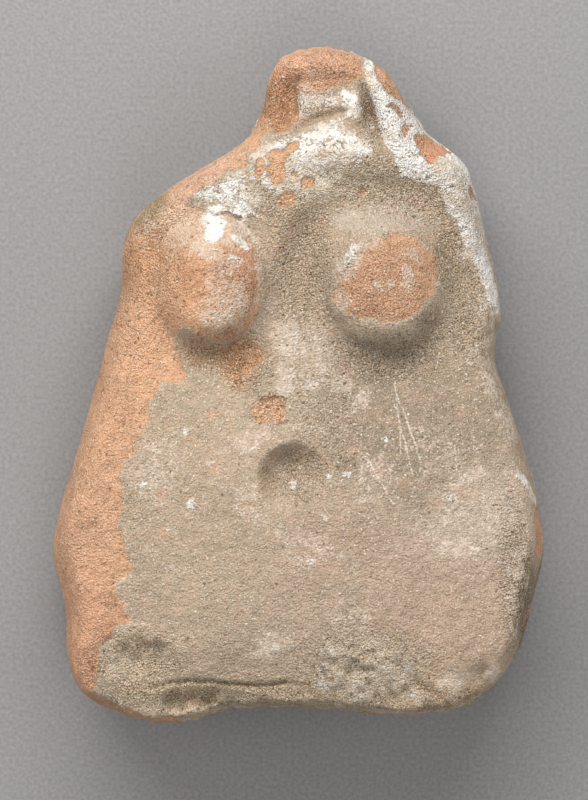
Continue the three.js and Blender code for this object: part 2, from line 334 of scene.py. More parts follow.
def front_face(x, y):
    """Height of the front: neck, chest and belly joined by smooth steps, less the crown x^2 towards the
    sides, plus the breasts and forms, less furrow and navel."""
    along = (
        NECK_FRONT
        + (CHEST_FRONT - NECK_FRONT) * smooth(*NECK_STEP, y)
        + (BELLY_FRONT - CHEST_FRONT) * smooth(*BELLY_STEP, y)
        - LIP_DROP * smooth(*LIP_STEP, y)
    )
    crown = CROWN * np.clip(np.abs(x) / blend(*CROWN_HALVES, smooth(*CROWN_STEP, y)), 0, 1) ** 2
    breasts = sum(breast_height(x, y, *breast) for breast in BREASTS)
    forms = sum(height * mound(x, y, at, half, *turn) for at, half, height, *turn in FORMS)
    return along - crown + breasts + forms - furrow_depth(x, y) - navel_depth(x, y)


def back_face(x, y):
    """Height of the back: 0 in the middle, lifting a little towards neck, foot and sides."""
    return (
        NECK_LIFT * smooth(FLAT_TOP, NECK_LIFT_END, y)
        + FOOT_LIFT * smooth(FLAT_FOOT, FOOT_LIFT_END, y)
        + SIDE_LIFT * smooth(FLAT_HALF_WIDTH, SIDE_LIFT_END, np.abs(x))
    )


def rim_height(x, y):
    """Height of the widest line, a slow sine wave along the sides, lower at the break."""
    wave = np.sin(RIM_WAVE_TURNS[1] * y + RIM_WAVE_TURNS[0] * x)
    return RIM_HEIGHT + RIM_WAVE * wave - BREAK_SINK * smooth(*BREAK_SINK_STEP, y)


def rounding(u, roundness):
    """A quarter of a superellipse, 0 at the rim and 1 from one radius inwards."""
    return (1 - (1 - np.clip(u, 0, 1)) ** roundness) ** (1 / roundness)


def front_radius(x, y):
    """Width of the rounding between front and side, narrower at the break and at the neck."""
    sides = blend(*SIDE_RADII, smooth(*SIDE_STEP, x))
    lower = blend(BREAK_RADIUS, sides, smooth(*BREAK_RADIUS_STEP, y))
    return blend(lower, NECK_RADIUS, smooth(*NECK_RADIUS_STEP, y))


def insets(radius, reach, side_rings, inner_rings):
    """How far in from the outline each ring's points stand, ring by ring, at 0 on the rim: close together
    like 1 - cos in the rounding, and evenly from there to the spine."""
    side = np.arange(side_rings + 1)[:, None] / side_rings
    inner = np.arange(1, inner_rings + 1)[:, None] / inner_rings
    return np.vstack((radius * (1 - np.cos(np.pi / 2 * side)), radius + (reach - radius) * inner))


ring = outline_ring()
coarse_ring = ring[::2]
steps = np.arange(2 * HALF_STEPS)
mirror = (2 * HALF_STEPS - steps) % (2 * HALF_STEPS)
middle = (ring[:, 1] + ring[mirror, 1]) / 2
down_share = np.minimum(steps, 2 * HALF_STEPS - steps) / HALF_STEPS
spine_y = blend(middle * SPINE_SCALE + SPINE_SHIFT, blend(*SPINE_ENDS, down_share), SPINE_EVEN)
spine = np.stack((blend(*SPINE_X, smooth(*SPINE_STEP, spine_y)), spine_y), 1)
reach = np.hypot(*(spine - ring).T)


def sheet(radius, side_rings, inner_rings):
    """Places (x, y) of a sheet's points, ring by ring from the rim to the spine."""
    way = insets(np.minimum(radius, ROUNDED_SHARE * reach), reach, side_rings, inner_rings)
    return ring[None] + (spine - ring)[None] * (way / reach)[..., None]


front = sheet(front_radius(ring[:, 0], ring[:, 1]), SIDE_RINGS, FRONT_RINGS)
back = sheet(BACK_RADIUS, BACK_SIDE_RINGS, BACK_RINGS)
# one grid of rings: in from the rim over the front at its start, and over the back at its end
plan = np.concatenate((front[::-1], back[1:]))
x, y = plan[..., 0], plan[..., 1]
in_from_edge = distance_to_line(x, y, coarse_ring)
rim = rim_height(x, y)
front_roundness = blend(BREAK_ROUNDNESS, ROUNDNESS, smooth(*ROUNDNESS_STEP, y))
front_rise = rounding(in_from_edge / front_radius(x, y), front_roundness)
back_fall = rounding(in_from_edge / BACK_RADIUS, ROUNDNESS)
on_front = (np.arange(len(plan)) < len(front))[:, None]
z = np.where(on_front, blend(rim, front_face(x, y), front_rise), blend(rim, back_face(x, y), back_fall))
# the rim is exactly the outline
z[len(front) - 1] = rim_height(ring[:, 0], ring[:, 1])
clay = np.stack((x, y, z), -1)

TINY = 1e-12  # keeps a length of 0 from dividing


def outward(points):
    """Unit normals of the grid: the cross product of its slopes along a ring and across the rings, with the
    two halves that meet on a spine sharing one normal."""
    along = np.roll(points, -1, 1) - np.roll(points, 1, 1)
    across = np.gradient(points, axis=0)
    normal = np.cross(along, across)
    for row in (0, -1):
        normal[row] = normal[row] + normal[row][mirror]
    return normal / np.maximum(np.linalg.norm(normal, axis=-1, keepdims=True), TINY)


box_centre = (clay.reshape(-1, 3).min(0) + clay.reshape(-1, 3).max(0)) / 2
normal = outward(clay)
if normal[len(front) // 2, :, 2].mean() < 0:
    normal = -normal

# A pale slip covers most of the clay. Where it has come off, the clay's orange shows: all down the right-hand
# side of the figure, on the left breast, and in small patches, each drawn here as the line round it.
RIGHT_SIDE = (
    (-37.9, -56.3), (-36.4, -54.7), (-36.8, -53.6), (-36.3, -51.7), (-36.4, -48.9), (-35.5, -47.5),
    (-33.5, -46.4), (-33.7, -45.2), (-33.1, -43.8), (-31.6, -43.8), (-29.8, -43.4), (-30.7, -42.5),
    (-31.6, -41.4), (-30.9, -39.7), (-32.7, -38.2), (-32.7, -36.4), (-32.2, -35.8), (-30.7, -35.1),
    (-30.2, -33.4), (-30.4, -32.5), (-30.9, -31), (-31.6, -29.6), (-32, -26.8), (-32.9, -26.2),
    (-32.7, -25.1), (-32.4, -23.7), (-31.5, -22.7), (-31.5, -21.8), (-32, -20.3), (-31.8, -18.5),
    (-32.4, -16.7), (-32, -14.8), (-31.5, -13.9), (-30, -13.3), (-29.4, -12), (-29.4, -10.2), (-28.9, -9.1),
    (-28, -8), (-26.8, -6.9), (-27.2, -5.6), (-27.2, -3.4), (-26.3, -2.4), (-25.6, -0.6), (-24.8, 0.3),
    (-21.7, 0.3), (-20.2, 0.9), (-20, 1.6), (-20.4, 3.1), (-21.5, 5.1), (-22.2, 6.4), (-22.8, 8.1),
    (-22.4, 8.6), (-21.7, 10.1), (-20.9, 10.8), (-18.9, 9.6), (-16.6, 8.4), (-14, 7.8), (-11.4, 8.2),
    (-9, 9.8), (-7.4, 12.4), (-6.6, 15.6), (-6.6, 20), (-7.4, 23.6), (-8.8, 26.2), (-10.8, 28.2), (-13, 29.4),
    (-14.5, 31), (-18.4, 32.2), (-21, 33), (-18, 36), (-16, 37), (-14, 38.4), (-12.3, 39.9), (-9.6, 39),
    (-9.2, 41), (-9.5, 42.3), (-7.5, 42.7), (-6.8, 44.2), (-7, 45.5), (-5.5, 46.6), (-4, 46), (-2.5, 46.5),
    (-1, 47.3), (-0.1, 49), (0, 53), (0.8, 54), (1.4, 52.8), (2.2, 52.6), (2.6, 53.8), (5, 53.6), (6.4, 54.4),
    (8.4, 55.6), (10, 55.4), (11.4, 56.4), (12, 58), (11.8, 59.8), (12.5, 70), (-70, 70), (-70, -75),
    (-18, -75), (-18, -61.8), (-23, -61.4), (-27, -61), (-30.5, -59.8), (-34.5, -57.8),
)
LEFT_BREAST = (
    (7.3, 18.4), (6.5, 17.1), (6.2, 16), (7.3, 14.7), (8.8, 13.1), (10.1, 12.3), (11.9, 11.9), (13.7, 11.8),
    (15.6, 11.2), (18, 11.4), (19.8, 11.9), (21.7, 13.1), (23.3, 14.7), (24.6, 16.6), (25.6, 18.4),
    (25.9, 20.2), (25.6, 22.1), (24.4, 23.9), (22.8, 25.8), (21.1, 27.1), (18.9, 27.6), (17.1, 27.8),
    (16.1, 27.1), (14.3, 26.5), (12.6, 26.2), (11.9, 25.2), (10.1, 22.6), (8.4, 20.3),
)
OVER_NAVEL = (
    (-7.7, -3.2), (-6.5, -2.6), (-4.2, -2.4), (-2.1, -2.8), (-2.3, -4.3), (-2.1, -6.1), (-2.7, -7.1),
    (-3.2, -7.8), (-3.8, -6.7), (-5.4, -6.7), (-6.5, -7.2), (-7.3, -7.4), (-8, -6.1), (-8.4, -4.7),
)
UNDER_RIGHT_BREAST = (
    (-9.6, 7.6), (-6.8, 6.6), (-5.9, 4.8), (-7.4, 3.4), (-8.4, 2.4), (-9.6, 1.6), (-10, 3.6), (-9.4, 5.4),
)
BARE = (RIGHT_SIDE, LEFT_BREAST, OVER_NAVEL, UNDER_RIGHT_BREAST)
# chips that have taken both slip and paint off
CHIPPED = (
    # at the foot of the neck
    (
        (-5.8, 42), (-4.5, 42.8), (-2.5, 43.2), (-1.5, 44.2), (0.2, 44.4), (0.4, 43), (-1, 42.6), (-1.8, 41),
        (-2.4, 39.8), (-2.2, 38.2), (-2.7, 36.6), (-3.4, 36.2), (-4.6, 37), (-5.6, 38), (-5.5, 39.5),
        (-5.2, 40.6), (-6, 41.5),
    ),
    ((-8, 40), (-7.2, 41.2), (-6.2, 41), (-6, 39.5), (-6.6, 38), (-7, 37.6), (-8, 38.8)),
    ((-1.2, 38.4), (-0.8, 39), (0, 38.8), (0.2, 38), (-0.5, 37.6)),
    ((0.6, 37.3), (1.5, 38), (2.8, 37.9), (3.5, 37), (3, 36.2), (1.6, 35.8), (0.8, 36.4)),
    (
        (-3.9, 34), (-2.5, 34.9), (-0.8, 35.5), (-0.3, 34.6), (-0.2, 33.4), (-1.3, 32.6), (-2.4, 32.2),
        (-3.6, 33),
    ),
    ((11.2, 35), (11.5, 35.9), (12.3, 35.8), (12.5, 35), (12, 34.5)),
    # beside the neck and on the left shoulder
    ((16.2, 50.8), (17, 51.6), (18.2, 51.3), (19, 50.3), (19.5, 49.4), (18.8, 49), (17.8, 50.2)),
    ((19.2, 47.4), (19.8, 48), (21, 47.6), (20.4, 46.2), (19.6, 45.4), (19, 46)),
    (
        (21.6, 45.7), (22.3, 46.2), (23.8, 46.2), (25.5, 44.8), (27.5, 43.8), (28, 43), (27.2, 42),
        (25.8, 42), (25.2, 41), (24.4, 40.3), (23.6, 40.6), (23.2, 41.8), (22.4, 42.3), (22.3, 43.8),
        (21.8, 44.6),
    ),
    (
        (14, 59.5), (14.2, 57.2), (15.3, 55.2), (16.2, 53.6), (17.6, 52.8), (19.3, 52), (21.5, 49), (24, 50),
        (18, 60),
    ),
    ((31.2, 35.8), (31.6, 36.5), (33, 36.5), (33, 34), (31.5, 34)),
    # on the left hip's edge
    (
        (43.9, -22.5), (43.6, -24.5), (43.6, -26.5), (43.9, -28), (43.7, -30), (44.2, -31.5), (48, -32),
        (48, -22),
    ),
)
# what is left of the white paint
BREAST_WHITE = (
    (-16.4, 32.6), (-14, 32.8), (-12.2, 31.9), (-13.8, 31.3), (-13.2, 29.5), (-13.2, 28), (-13.8, 26.6),
    (-15.3, 25.8), (-16.8, 26.2), (-17.3, 27.6), (-16.9, 28.8), (-18.2, 30), (-17.4, 31.4),
)
SHOULDER_WHITE = (
    (-20, 33.8), (-17.6, 35.8), (-13, 38.6), (-9.6, 39.8), (-9, 37), (-6.6, 35), (-6, 33), (-8, 30.6),
    (-10, 29.6), (-12, 31.4), (-14, 33), (-17.4, 32.6),
)
CHEST_WHITE = (
    (-9.6, 43), (-9.2, 40), (-8.8, 37.2), (-6.6, 35), (-3, 34), (0, 34.6), (3, 35.2), (5, 37), (7.4, 39),
    (10, 40), (12.6, 40.6), (14.6, 41.4), (15, 43), (13.4, 45.4), (11, 46.6), (9, 47), (8.4, 49), (6.5, 49.2),
    (4, 48.3), (2, 47.2), (0.5, 46.4), (-1.5, 46), (-4, 45.2), (-6, 44.6),
)
COLLAR_WHITE = ((0.2, 49), (3, 50.2), (7.6, 51), (8, 53), (6, 53.8), (3, 53.4), (1.2, 53.8), (0.2, 52))
LUMP_WHITE = ((8.2, 50), (8, 53.4), (9, 54.4), (11, 54.2), (12, 52.6), (12, 50), (11, 48.4), (8.8, 48.4))
STRIP_WHITE = (
    (12, 59.4), (12.5, 57.2), (12.8, 55), (13.8, 52), (14.8, 49), (15.6, 46), (16.4, 43.4), (18.4, 41.2),
    (20.5, 41.4), (22.6, 42.4), (25, 41.4), (28, 42.4), (30, 44), (23, 50), (14.5, 62),
)
FLANK_WHITE = (
    (18, 41.4), (20.5, 41.6), (24, 42), (28, 44), (33, 40), (34.5, 33), (36.6, 24), (38, 18), (36, 13),
    (34, 19), (32.2, 23), (30.6, 26), (29.4, 29.6), (27.6, 31.2), (26.6, 34), (26, 36.2), (23, 37.4),
    (19, 38.4),
)
ARM_WHITE = (
    (25, 38.6), (27.4, 41.8), (30.4, 43), (32.4, 37), (31.6, 32.6), (29.6, 32.6), (29.4, 36), (27.6, 38),
)
ARM_FOOT_WHITE = ((31.4, 31.6), (33.6, 32), (35, 27), (33.8, 26), (32, 27.4), (31, 29.6))
HIP_WHITE = (
    (40, -15), (41.5, -16.8), (42.8, -18.6), (43.8, -20.8), (44.6, -23), (43.4, -22.4), (42.2, -20.4),
    (41, -18.4), (39.8, -16.2),
)
# the line round each, how much of it is there, and how softly it thins out, in mm
WHITE_FIELDS = (
    (BREAST_WHITE, 0.92, 0.9), (SHOULDER_WHITE, 0.63, 1.8), (CHEST_WHITE, 0.65, 2.6),
    (COLLAR_WHITE, 0.6, 1.2), (LUMP_WHITE, 0.64, 1.2), (STRIP_WHITE, 0.98, 1.3), (FLANK_WHITE, 1.1, 1.8),
    (ARM_WHITE, 0.8, 1.5), (ARM_FOOT_WHITE, 0.82, 1.2), (HIP_WHITE, 0.85, 0.8),
)
# smaller remains of it: place, half-lengths, how much, and its turn in degrees if it has one
WHITE_SPOTS = (
    ((-10.4, 26), (2.6, 0.8), 0.72, -44), ((-11.4, 23), (1.6, 0.9), 0.56, -20),
    ((-14.6, 21.4), (2, 0.8), 0.56, 20), ((-11, 31.6), (2.2, 0.8), 0.66, -16),
    ((9.8, 23.6), (1.2, 2.8), 0.54, -32), ((-1.2, 0.6), (1.4, 3.4), 0.5), ((-1, 9), (1.6, 1.6), 0.46),
    ((13.4, 47), (1, 1.8), 0.5), ((13.4, 53), (0.8, 1.4), 0.5), ((30, 24.6), (1.4, 3), 0.46, 10),
    ((2.4, 0), (1.4, 1.6), 0.5), ((32.4, -30), (2.4, 0.7), 0.52, -4), ((35.8, -52.8), (1.4, 1.2), 0.44, 40),
    # the crusted patch over the lower break
    ((5.6, -48.6), (1.8, 2), 0.46), ((4.8, -51.4), (1.6, 1.8), 0.47), ((5.6, -54.6), (3.2, 1.8), 0.45, -12),
    ((16.6, -51.6), (2, 1.6), 0.48, -24), ((20.4, -51.6), (2.2, 1.6), 0.47, -34),
    ((11, -55.6), (2, 1.4), 0.46), ((10.6, -57), (2, 1.1), 0.5), ((21.4, -56.8), (1, 1.1), 0.6),
    ((12, -51), (9, 5), 0.33),
    # flecks
    ((-4, -48.2), (1.1, 1), 0.6), ((-6.3, -47), (1.3, 0.6), 0.52, 30), ((2.5, -32), (1.2, 0.9), 0.54),
    ((-28.1, -13.2), (0.8, 0.6), 0.55), ((-26.5, -15.2), (0.8, 0.6), 0.55),
    ((-27.9, -18.3), (1, 0.6), 0.55, 20), ((-19.4, -22), (1.1, 1.2), 0.57), ((-0.7, -18.6), (0.9, 1.6), 0.6),
    ((9, -16.4), (1, 0.8), 0.52), ((-23.8, -26), (0.6, 0.9), 0.54), ((-25.3, -25.4), (0.5, 0.8), 0.54),
    ((-15.8, -14.4), (1.3, 0.5), 0.56, 20), ((15.8, -10), (1, 0.8), 0.52), ((5.7, -16.8), (0.7, 0.7), 0.6),
    ((5, -24.4), (0.6, 0.8), 0.6), ((1.9, 0.4), (0.7, 0.7), 0.6), ((-20.2, -8.6), (0.7, 0.8), 0.5),
    ((28.2, -20.4), (1.2, 0.9), 0.5, 30),
)
# where a thin white bloom lies over slip or clay, and a painted highlight along the edge of the lower break:
# place, half-lengths, strength and turn
BLOOM_AND_EDGE_HIGHLIGHT = (
    ((-12.6, 16), (4.4, 8), 0.56), ((-13, 27.6), (5, 3), 0.6, -20), ((-19, 28), (5, 4), 0.4, 30),
    ((-16.6, 24.4), (4, 2), 0.66, -20), ((-14.4, 13.4), (4, 4), 0.58), ((-9.2, 28), (2.6, 0.6), 0.8, -50),
    ((-7.2, 21), (0.6, 3.6), 0.72, 8), ((-7.2, 16.2), (0.6, 2.6), 0.62, -12), ((-25, 28), (6, 4), 0.36),
    ((9.6, 22.4), (2.2, 4.4), 0.66, -32), ((20.2, 19.2), (1.4, 2.6), 0.6, 6),
    ((13, 25.6), (2.4, 1.2), 0.6, 20), ((16, 18), (2.6, 1.2), 0.5), ((8, 16), (1.4, 3), 0.5),
    ((21, 24), (3, 1.4), 0.46, -40), ((1.5, 53), (2, 3), 0.5), ((3, 57), (1.6, 1), 0.4, 30),
    # down the middle of the body and round the navel
    ((3, 4.6), (3.4, 7.4), 0.54), ((-1.4, 8.4), (3.2, 4), 0.78), ((-2.4, 0.6), (1.8, 3.4), 0.76),
    ((11.4, -3.2), (2, 2.4), 0.56, -20), ((7.6, -0.4), (3, 2), 0.5), ((-9, -10.6), (4, 2.4), 0.56, 30),
    ((-7.6, -9.4), (2.4, 1.4), 0.6), ((-9.4, -21), (2.6, 3), 0.5), ((-2, -27), (3, 2), 0.45),
    ((-8, -23.6), (5, 1.4), 0.46, -30), ((2, -30), (4, 3), 0.46), ((8, -32), (1, 3), 0.5, 40),
    ((1, -8), (5, 1), 0.46, -10), ((14, -16), (5, 4), 0.4), ((13, -20), (3, 2), 0.46),
    # along the left side of the body
    ((34.6, 12), (1.8, 8), 0.5), ((35.2, 1.4), (2, 5), 0.56, 14), ((38.4, -6.6), (2, 4.6), 0.56, 20),
    ((31, -17), (4, 1.4), 0.56, 24), ((29, -30), (5, 1.6), 0.58, -4), ((27, -25), (7, 5), 0.44),
    ((39.6, -33.6), (1.8, 3), 0.64), ((39.4, -42), (1.2, 6), 0.58, 4), ((35.6, -52.6), (2, 1.6), 0.6, 40),
    ((36, -24), (5, 6), 0.42), ((33, 6), (3, 3), 0.46), ((24, -12), (8, 5), 0.34),
    # the crusted patch over the lower break, and the edge of the break, where the pale line is a painted
    # highlight
    ((12, -52.6), (9.6, 5.6), 0.42), ((29, -54), (4, 1.6), 0.58), ((10, -43), (4, 3), 0.44),
    ((20, -60.2), (12, 0.8), 0.9), ((-4, -59.6), (15, 0.8), 0.66), ((-5, -47.6), (4, 2), 0.5, 20),
    ((-30, -44), (2.4, 1), 0.5), ((-32, -37.6), (1.4, 3), 0.46), ((-26, -16), (6, 6), 0.42),
    ((-34, -50), (3, 4), 0.42),
)
# brown dirt in the hollows, and painted shade under and between the breasts, under the collar, in the furrow,
# in the grooves of the neck, in the navel and under steps: place, half-lengths, strength and turn
DIRT_AND_SHADE = (
    # the dark crescents under both breasts and between them: painted shade, with some brown dirt
    ((16, 5.4), (8.6, 2.6), 0.34), ((24.6, 11.6), (2.6, 5.6), 0.4, -40), ((7.4, 10), (2.6, 4), 0.4, 30),
    ((-16.4, 5), (5, 2.6), 0.3, -6), ((-10, 5.6), (4.6, 3.6), 0.4), ((-5, 16), (2, 8), 0.16),
    # painted shade in the hollow under the collar at (9, 36.2) and in the furrow round the left breast on the
    # next line
    ((4.2, 24.6), (1.6, 7), 0.26, -10), ((13, 13), (4.4, 1.2), 0.42, 10), ((9, 36.2), (7, 2.6), 0.26, 20),
    ((27.4, 23.4), (2.8, 7.4), 0.42, 10), ((22.6, 31), (5, 2.4), 0.3, -14),
    # painted shade with brown grit in the grooves of the neck, under the steps of its block and knob, and in
    # its thumb dent
    ((3.6, 48.8), (4.4, 0.9), 0.55, 20), ((13.2, 51), (1, 3.6), 0.5, 10),
    ((13.8, 47.6), (1.4, 2.4), 0.46, 10), ((15, 45), (0.9, 2.4), 0.46, 14), ((9, 56), (4, 1.2), 0.5, 12),
    ((11, 47.4), (2, 0.9), 0.55, 4), ((10.6, 57.6), (1.6, 1.6), 0.42), ((-1.6, 51.6), (1.8, 5), 0.36),
    # painted shade also at the upper edge of the chip at (-27, -46.6) and under the step of the long crack at
    # (-17, -55)
    ((-3.4, 52), (3, 4.6), 0.24), ((-27, -46.6), (5, 1), 0.3, -12), ((-17, -55), (10, 0.7), 0.32),
    # painted shade on the deep upper right wall of the navel at (-1, -13) and on the next line at (-5.6,
    # -17.6)
    ((-17, -57.6), (4, 1.4), 0.12), ((32.4, -55.4), (2.4, 1.6), 0.45), ((-1, -13), (5.4, 1.6), 0.44),
    ((-5.6, -17.6), (1.6, 4.2), 0.56, 10), ((28.2, 36.2), (0.9, 0.35), 0.9, 20),
    ((24, 38), (1.2, 0.35), 0.7, 30), ((-26.4, 27), (3, 4), 0.3), ((-19.6, 18.4), (2.4, 2.8), 0.3),
    ((-7.6, -0.6), (3, 3), 0.24), ((41.4, -42), (1.6, 8), 0.34, 8), ((-37.4, -50), (3, 4.6), 0.3),
    ((8.6, -50.6), (3, 1.2), 0.25, -10), ((-32, -51), (5, 4), 0.2),
)
# where loose grains stick to the surface: place, half-lengths, how many, and turn
GRIT = (
    ((27.8, 23), (3, 7), 1, 6), ((24, 10), (3, 3.6), 0.8), ((1, 22), (6, 16), 0.8), ((-13, 6.4), (8, 4), 0.9),
    ((-9, 3), (4, 4), 1), ((0, -16), (5, 5), 0.7), ((-38, -20), (10, 44), 0.22, -12),
    ((-27, 20), (7, 20), 0.6, -10), ((-3, 34), (8, 5), 0.7), ((12, -52), (11, 7), 1), ((-30, -51), (9, 6), 1),
    ((-14, -57), (22, 3), 1), ((13.6, 49), (2.4, 6), 1), ((2.6, 52), (4, 2.4), 0.9), ((16, 6), (10, 5), 0.9),
    ((40, -36), (3, 14), 0.9, 4), ((20, 36), (16, 6), 0.9, -10), ((5, -6), (6, 12), 0.4),
    ((31, 14), (4, 10), 0.8), ((19, 48), (4, 9), 0.7, 20), ((34, 28), (3, 12), 0.8, 14),
    ((3, 58), (9, 4), 0.6), ((-4, 52), (4, 6), 0.8), ((15, 19), (9, 9), 0.5), ((-24, 30), (7, 6), 0.7, 30),
    ((-17, 39), (9, 4), 0.6, 36), ((20, -58), (20, 3), 0.8), ((-5, -4.8), (3, 2.6), 1),
    ((-11, 16), (6, 9), 0.4),
)

LAMP_GAIN = 1.49  # how strongly the lamps light the front, where 1 would show a colour as it is


def seen(red, green, blue):
    """Linear colour that these lamps show as the given one on a screen: the curve of a screen's colours,
    (v + 0.055) / 1.055 to the power 2.4, over the lamps' gain."""
    value = np.array((red, green, blue)) / 255
    return np.where(value > 0.04045, ((value + 0.055) / 1.055) ** 2.4, value / 12.92) / LAMP_GAIN


SLIP = seen(187, 167, 145)
# shades of the slip: colour, place, half-lengths, strength and turn; a few are painted light and one is
# painted shade, each marked
SLIP_SHADES = (
    ((189, 169, 145), (-20, -18), (15, 34), 0.9), ((163, 146, 125), (24, -5), (18, 18), 0.9),
    ((196, 178, 158), (33, -26), (11, 12), 0.9), ((192, 167, 145), (29, -43), (14, 11), 0.9),
    ((194, 169, 147), (8, -34), (11, 13), 0.7), ((194, 172, 146), (1, 24), (8, 17), 0.9),
    # the pale shade at (35, 28) is painted light on the edge of the left shoulder, which faces away from the
    # lamp
    ((184, 164, 140), (29, 20), (9, 17), 1), ((228, 216, 202), (35, 28), (3, 14), 0.9, 14),
    # the pale shade at (15.6, 30) is a painted highlight on the upper slope of the left breast, which faces
    # the lamp
    ((186, 168, 144), (13, 36), (15, 5), 1), ((202, 186, 168), (15.6, 30), (9, 2.8), 1),
    ((208, 188, 162), (-13, 35.4), (6, 3.4), 0.9, 20), ((197, 173, 147), (16, -55), (24, 6), 0.8),
    ((214, 192, 164), (-30, -50), (10, 6), 0.9), ((226, 207, 180), (12, -52.6), (9, 6), 0.9),
    # the orange shade at (-17, -57.4) is the colour of crumbs, with painted light that lifts the shade of the
    # ledge's hollow
    ((214, 201, 180), (3, 37.6), (8, 3.4), 1, 6), ((232, 190, 152), (-17, -57.4), (6, 2), 1),
    # the pale shade at (-8, -57) is painted light along the lower break's sloping edge; the dark one at (43,
    # -42) is painted shade on the left hip's edge
    ((198, 178, 150), (-8, -57), (22, 3), 0.9), ((144, 128, 106), (43, -42), (3, 11), 0.9, 6),
    ((190, 172, 152), (-11, 14), (6, 8), 0.9), ((180, 163, 142), (16.4, 15), (13, 12), 0.7),
    ((176, 156, 133), (0.6, -17), (4, 4), 0.8), ((176, 160, 138), (8, -40), (5, 9), 0.5),
    ((205, 178, 158), (30.4, -19.6), (2.6, 1.6), 0.9), ((204, 170, 146), (25, -21.6), (1.6, 1), 0.9),
    ((200, 176, 156), (20, -30), (4, 2.6), 0.8), ((206, 168, 142), (-15.4, -5.6), (1.2, 0.7), 0.9),
    ((204, 160, 134), (-24.6, -27), (0.6, 1.4), 0.9), ((204, 152, 122), (-24.6, -19.8), (1.1, 0.7), 1),
    ((204, 164, 138), (-15.4, -15.2), (1.1, 1.2), 0.9), ((200, 168, 142), (-9.4, -22.4), (2, 1.6), 0.7),
    # the pale band at (15.4, 9.9) is painted light on the underside of the left breast
    ((216, 196, 172), (15.4, 9.9), (8, 1.8), 0.9), ((200, 166, 132), (-14.6, 6), (8, 3), 0.9),
    ((196, 148, 110), (-10.6, 4), (3.4, 4.6), 0.9), ((206, 180, 160), (-8, -10), (4, 1.6), 0.6),
    ((202, 170, 146), (4, -32), (5, 2.4), 0.6, -30),
)
FIRED = seen(208, 164, 130)
# shades of the bare clay: colour, place, half-lengths, strength and turn; the one in the thumb dent is
# painted shade
FIRED_SHADES = (
    ((212, 167, 134), (-40, -24), (9, 34), 1, -12), ((204, 160, 128), (-34, -2), (6, 16), 0.9, -16),
    ((228, 192, 164), (-23, 29), (6, 4), 0.9, 20), ((196, 148, 112), (-28, 24), (4.4, 7), 0.8),
    ((200, 150, 115), (-20, 17.6), (3.4, 5), 0.8), ((196, 148, 116), (-11, 20), (4, 5), 0.9),
    ((222, 174, 140), (-26, 10), (6, 10), 0.7), ((214, 164, 132), (-38, -47), (6, 10), 0.8),
    ((206, 160, 124), (-9.4, 4.4), (5, 5), 1), ((226, 182, 154), (-18, 38.4), (9, 4), 0.9, 36),
    # the dark shade at (-3, 52) is painted shade in the thumb dent
    ((217, 170, 140), (3, 59), (10, 5), 0.8), ((184, 136, 103), (-3, 52), (3.6, 6), 0.8),
    ((194, 152, 123), (15, 19), (9, 9), 0.9), ((204, 156, 126), (45, -27), (3, 6), 0.9),
    ((206, 150, 118), (25, 43.4), (4, 4), 0.8), ((172, 148, 114), (-28, 31.8), (4.4, 2.6), 1, 40),
    ((216, 172, 140), (-5.2, -4.8), (3, 2.6), 0.9),
)
# fine scratches in the slip, each a line of straight pieces
SCRATCHES = (
    (
        (17.6, 0.2), (18.4, -3), (19.3, -4.6), (20, -6.6), (20.4, -8.2), (21.2, -10), (21.7, -11.6),
        (22.5, -14.2),
    ),
    ((18, -2.4), (18.4, -6), (19, -8.8), (19.7, -10.6), (20.1, -13), (21, -16.6)),
    ((18.7, -7), (18.8, -12.6)),
    ((13, -13.8), (14.2, -16.2), (15.3, -18), (16.4, -20), (17.6, -22)),
    ((28.6, -11), (28.9, -13), (29, -15.6)),
    ((15.8, -15.8), (17.9, -14.6)),
    ((32.3, -12), (33.6, -11)),
)
# thin dark cracks, the first of them the long one over the ledge, whose dark line is also painted shadow
# under the step there, and the dark edges of flaked places
LONG_CRACK = (
    (-27.2, -55), (-25, -55), (-23, -54.4), (-20, -54.2), (-16, -54.3), (-13, -54.7), (-10, -54.9),
    (-7.5, -55.1), (-5, -54.9), (-2, -54.4),
)
CRACKS_AND_STEP_SHADOW = (
    (*LONG_CRACK, (2, -54.6)),
    ((-14.7, 31.1), (-13.4, 31.3), (-12, 31.1), (-10.6, 30.4)),
    ((-6.6, -2.7), (-4.2, -2.4), (-2.2, -2.8), (-2.4, -4)),
    ((-3.2, -7.2), (-2, -6.9)),
    ((13, -48.6), (14, -48.4)),
    ((4.4, -51.4), (5.2, -53.4), (6.4, -53.8)),
    ((8, -49.6), (10, -49.4)),
)


def inside_distance(x, y, corners):
    """Distance to the closed line through the corners, over 0 inside it and under 0 outside. A point is
    inside if a ray from it crosses the line an odd number of times."""
    a = np.array(corners, float)
    odd = np.zeros(x.shape, bool)
    for (ax, ay), (bx, by) in zip(a, np.roll(a, -1, 0)):
        if ay != by:
            odd ^= ((ay > y) != (by > y)) & (x < ax + (y - ay) * (bx - ax) / (by - ay))
    return np.where(odd, 1, -1) * distance_to_line(x, y, corners)


def oval(x, y, at, half, turn=0):
    """1 in the middle part of an oval, half of that on its edge, and 0 from one and a half times its size."""
    angle = math.radians(turn)
    dx, dy = x - at[0], y - at[1]
    u = (dx * math.cos(angle) + dy * math.sin(angle)) / half[0]
    v = (dy * math.cos(angle) - dx * math.sin(angle)) / half[1]
    return 1 - smooth(0.5, 1.5, np.hypot(u, v))


CORNERS = 48  # along each side of the block of random values, which then repeats


